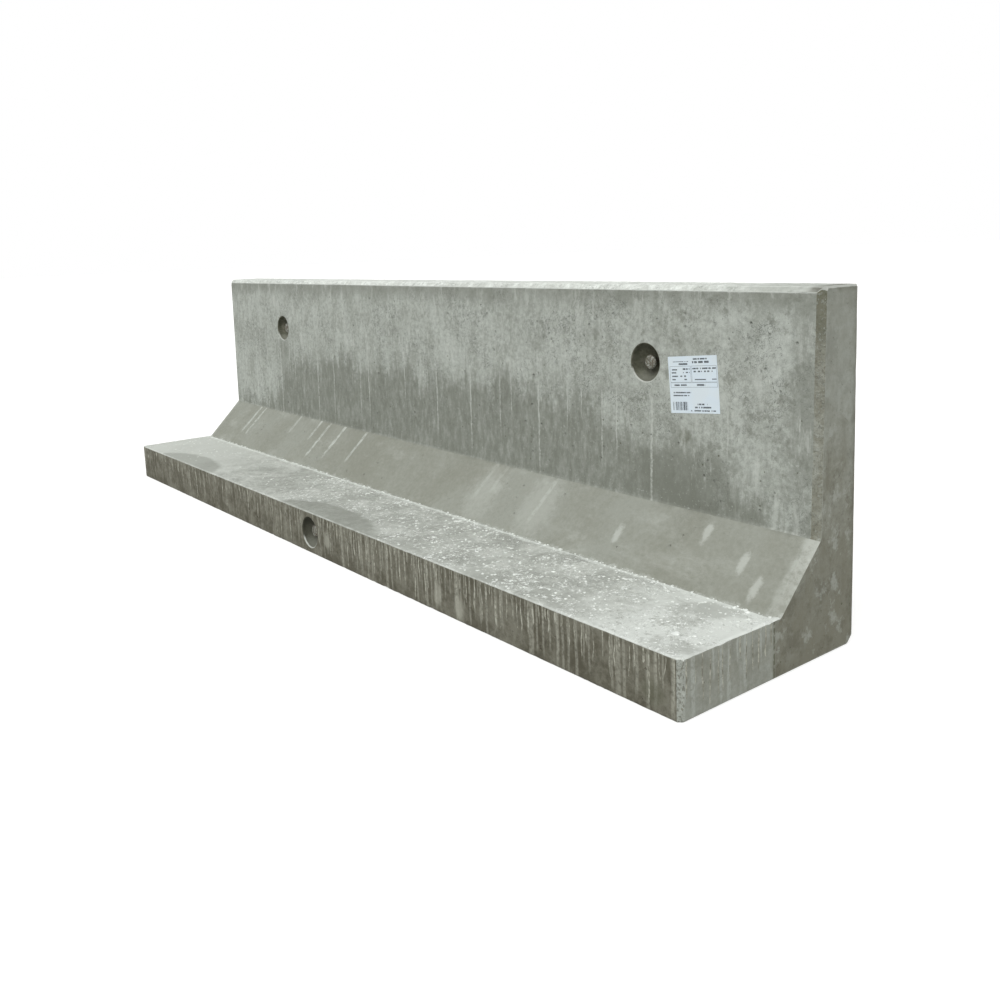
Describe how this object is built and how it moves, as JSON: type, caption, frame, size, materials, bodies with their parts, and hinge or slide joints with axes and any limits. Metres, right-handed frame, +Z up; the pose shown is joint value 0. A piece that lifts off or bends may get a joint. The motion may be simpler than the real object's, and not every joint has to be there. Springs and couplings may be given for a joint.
{
  "type": "l-shaped retaining wall",
  "caption": "Precast concrete L-shaped retaining wall element with a level base, an upright stem, an inner haunch and cast-in lifting anchors in half-ball recesses.",
  "frame": {"origin": "middle of the underside, which stands on the ground", "axes": "+X along the wall, +Y from the free edge of the base towards the smooth outer face, +Z up"},
  "size_m": [3, 0.57, 0.8],
  "materials": {
    "concrete": "formwork-smooth grey concrete, weathered, with drip runs and damp patches",
    "anchor_steel": "dull bare steel with cement film and light rust",
    "sheet": "white sheet in a thin clear pocket"
  },
  "bodies": {
    "root": {"wall_body": "concrete", "stem_anchor_left": "anchor_steel", "stem_anchor_right": "anchor_steel", "base_anchor": "anchor_steel", "delivery_sheet": "sheet"}
  },
  "joints": []
}
